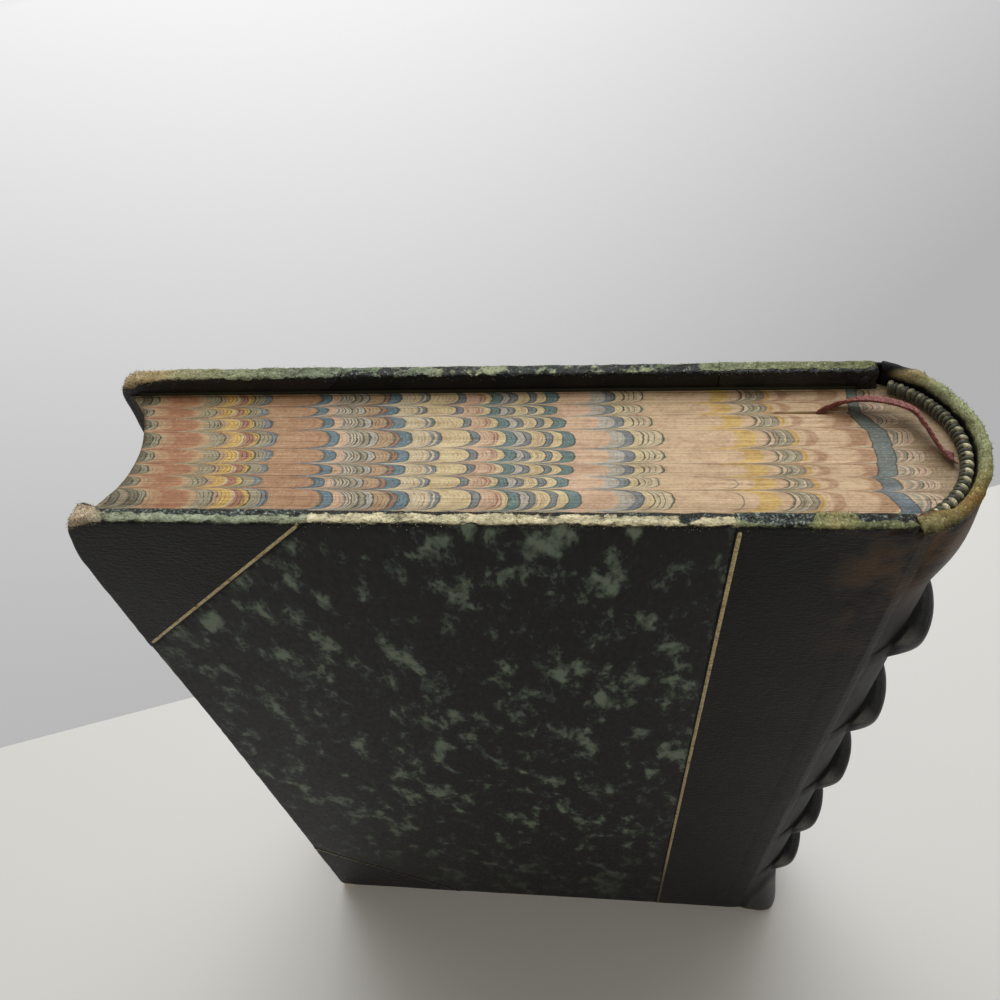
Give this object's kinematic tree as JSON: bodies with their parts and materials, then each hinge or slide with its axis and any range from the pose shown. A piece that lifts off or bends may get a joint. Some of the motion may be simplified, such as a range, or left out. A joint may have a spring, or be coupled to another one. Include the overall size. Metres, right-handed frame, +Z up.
{
  "type": "leather book",
  "caption": "Closed antique half-leather book standing on its tail, with raised bands, marbled edges, ribbon marker and two covers that open.",
  "frame": {"origin": "centre of the bounding box at its base, on the plane that the book stands on", "axes": "+Z up to the head, +X towards the spine, -Y towards the rear cover"},
  "size_m": [0.1564, 0.036, 0.2245],
  "materials": {
    "pages": "matt, marbled edges",
    "endpaper": "matt, toned",
    "lining_cloth": "open weave",
    "tube_paper": "matt brown",
    "cord": "laid hemp",
    "leather": "worn charcoal, rubbed to green suede",
    "silk_green": "silk thread",
    "silk_cream": "silk thread",
    "ribbon": "silk",
    "millboard": "matt",
    "side_paper": "cloudy marbled, rubbed",
    "gilt": "gold leaf, rubbed"
  },
  "bodies": {
    "book_block": {"text_block": "pages", "rear_flyleaf": "endpaper", "front_flyleaf": "endpaper", "spine_lining": "lining_cloth", "spine_tube": "tube_paper", "band_cords": "cord", "spine_leather": "leather", "head_core": "cord", "head_silk_green": "silk_green", "head_silk_cream": "silk_cream", "tail_core": "cord", "tail_silk_green": "silk_green", "tail_silk_cream": "silk_cream", "ribbon_marker": "ribbon"},
    "rear_cover": {"rear_board": "millboard", "rear_side_paper": "side_paper", "rear_spine_flap": "leather", "rear_corner_head": "leather", "rear_corner_tail": "leather", "rear_fillets": "gilt", "rear_endpaper": "endpaper"},
    "front_cover": {"front_board": "millboard", "front_side_paper": "side_paper", "front_spine_flap": "leather", "front_corner_head": "leather", "front_corner_tail": "leather", "front_fillets": "gilt", "front_endpaper": "endpaper"}
  },
  "joints": [
    {"name": "rear_joint", "type": "hinge", "parent": "book_block", "child": "rear_cover", "pos_m": [0.0609, -0.018, 0], "axis": [0, 0, 1], "range_deg": [0, 170]},
    {"name": "front_joint", "type": "hinge", "parent": "book_block", "child": "front_cover", "pos_m": [0.0609, 0.018, 0], "axis": [0, 0, -1], "range_deg": [0, 170]}
  ]
}
